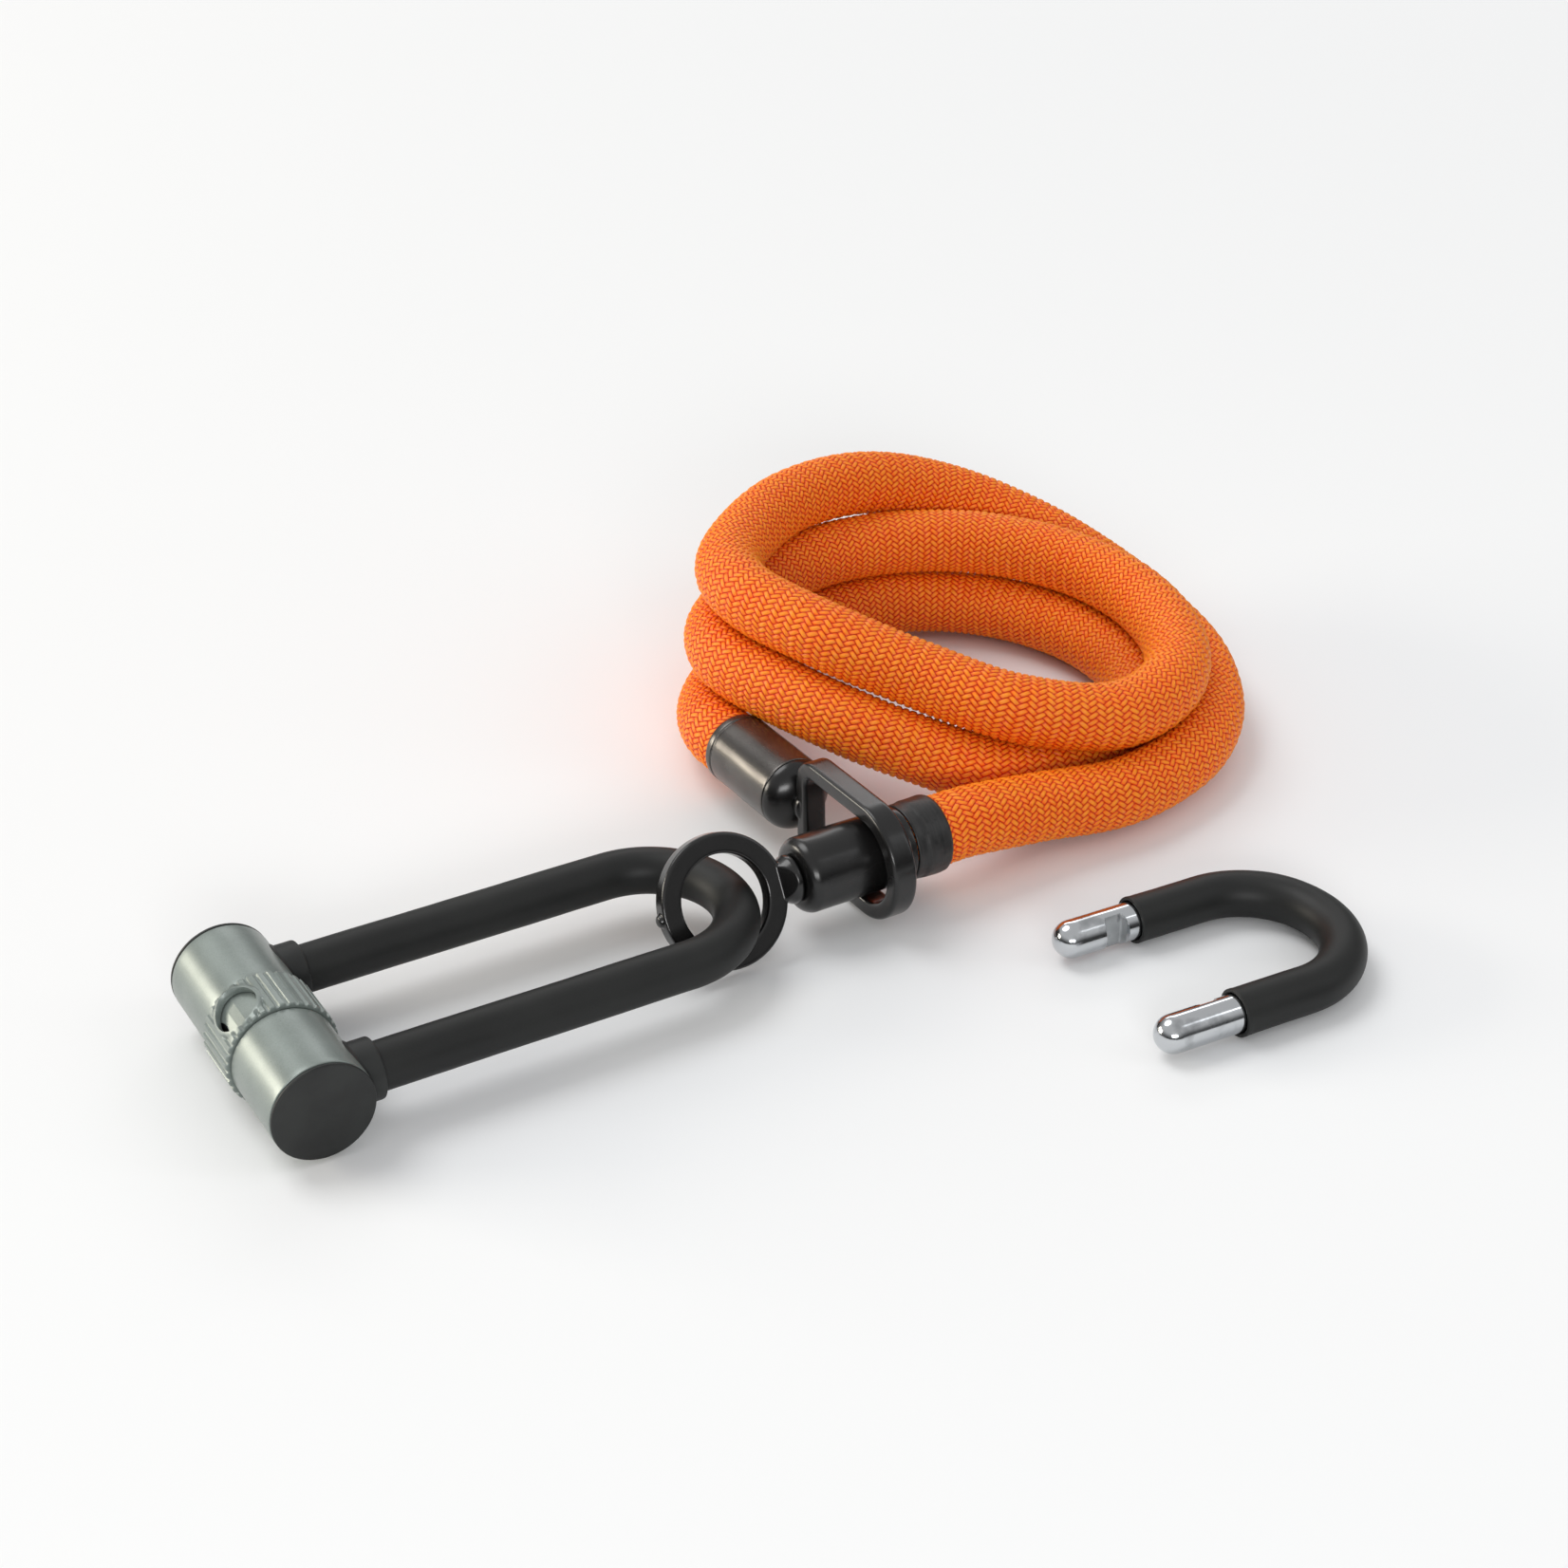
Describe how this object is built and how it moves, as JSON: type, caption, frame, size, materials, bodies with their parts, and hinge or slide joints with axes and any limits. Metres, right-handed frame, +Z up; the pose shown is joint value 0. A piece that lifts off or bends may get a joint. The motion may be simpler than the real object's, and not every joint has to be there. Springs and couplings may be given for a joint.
{
  "type": "rope noose lock",
  "caption": "Braided rope lock with a ring eye, a dee eye looped over the rope's other ferrule, a small shackle lock through the ring and a spare short shackle.",
  "frame": {"origin": "on the floor, under the centre of the box round the hard pieces (everything but the rope)", "axes": "+Z up; +X along the longest extent, from the lock body towards the spare shackle; +Y towards the rope coil"},
  "size_m": [0.3882, 0.3864, 0.0767],
  "materials": {
    "orange_braid": "tightly braided vivid orange polyester cover",
    "core_yarn": "pale laid core yarns",
    "black_shrink_sleeve": "semi-matte black shrink tube",
    "satin_black": "satin black coated steel",
    "dark_steel": "hardened steel, machined",
    "bright_steel": "bright plated steel",
    "black_rubber": "matte black rubber sleeve",
    "shell_grey": "satin grey-green coating",
    "black_plastic": "fine grained black plastic",
    "lock_brass": "machined brass"
  },
  "bodies": {
    "rope_set": {"rope_cover": "orange_braid", "rope_core": "core_yarn", "ring_end_ferrule": "satin_black", "ring_end_shrink_sleeve": "black_shrink_sleeve", "dee_end_ferrule": "satin_black", "dee_end_cap": "satin_black"},
    "ring_fitting": {"ring_eye": "satin_black", "ring_eye_retainer": "dark_steel"},
    "dee_fitting": {"dee_eye": "satin_black", "dee_eye_retainer": "dark_steel"},
    "long_shackle": {"long_shackle_bar": "bright_steel", "long_shackle_sleeve": "black_rubber"},
    "lock_body": {"body_core": "dark_steel", "body_cover_right": "shell_grey", "body_cover_left": "shell_grey", "end_cap_right": "black_plastic", "end_cap_left": "black_plastic", "shackle_bush_right": "black_plastic", "shackle_bush_left": "black_plastic", "cylinder_housing": "dark_steel", "cylinder_retaining_pin": "bright_steel", "cover_detent_ball": "bright_steel", "cover_detent_spring": "bright_steel"},
    "keyhole_cover": {"keyhole_cover": "shell_grey"},
    "lock_plug": {"cylinder_plug": "lock_brass", "anti_drill_disc": "dark_steel", "detainer_disc_1": "lock_brass", "detainer_disc_2": "lock_brass", "detainer_disc_3": "lock_brass", "detainer_disc_4": "lock_brass", "detainer_disc_5": "lock_brass", "detainer_disc_6": "lock_brass", "sidebar": "bright_steel", "bolt_cam": "dark_steel"},
    "bolt_right": {"bolt_right": "bright_steel"},
    "bolt_left": {"bolt_left": "bright_steel"},
    "spare_shackle": {"spare_shackle_bar": "bright_steel", "spare_shackle_sleeve": "black_rubber"}
  },
  "joints": [
    {"name": "ring_swivel", "type": "hinge", "parent": "rope_set", "child": "ring_fitting", "pos_m": [0.02961, 0.03168, 0.0224], "axis": [-0.8572, -0.515, 0], "continuous": true},
    {"name": "lock_lift", "type": "hinge", "parent": "ring_fitting", "child": "long_shackle", "pos_m": [-0.01488, 0.00231, 0.0185], "axis": [-0.1711, 0.9853, 0], "range_deg": [0, 60]},
    {"name": "lock_body_pull", "type": "slide", "parent": "long_shackle", "child": "lock_body", "axis": [-0.866, -0.5, 0], "range_m": [0, 0.06]},
    {"name": "keyhole_cover_turn", "type": "hinge", "parent": "lock_body", "child": "keyhole_cover", "pos_m": [-0.15789, -0.06832, 0.0185], "axis": [0.5, -0.866, 0], "range_deg": [0, 55]},
    {"name": "plug_turn", "type": "hinge", "parent": "lock_body", "child": "lock_plug", "pos_m": [-0.15789, -0.06832, 0.0185], "axis": [0.866, 0.5, 0], "range_deg": [0, 90]},
    {"name": "bolt_right_slide", "type": "slide", "parent": "lock_body", "child": "bolt_right", "axis": [0.5, -0.866, 0], "range_m": [0, 0.0045]},
    {"name": "bolt_left_slide", "type": "slide", "parent": "lock_body", "child": "bolt_left", "axis": [-0.5, 0.866, 0], "range_m": [0, 0.0045]},
    {"name": "dee_swivel", "type": "hinge", "parent": "rope_set", "child": "dee_fitting", "pos_m": [0.02961, 0.03168, 0.0224], "axis": [0.5147, -0.8566, 0.0349], "range_deg": [-8, 8]},
    {"name": "spare_shackle_lift", "type": "slide", "parent": "rope_set", "child": "spare_shackle", "axis": [0, 0, 1], "range_m": [0, 0.06]}
  ],
  "couplings": [
    {"joint": "plug_turn", "follows": "bolt_right_slide", "rad_per_m": 349.07},
    {"joint": "bolt_left_slide", "follows": "bolt_right_slide", "ratio": 1}
  ]
}
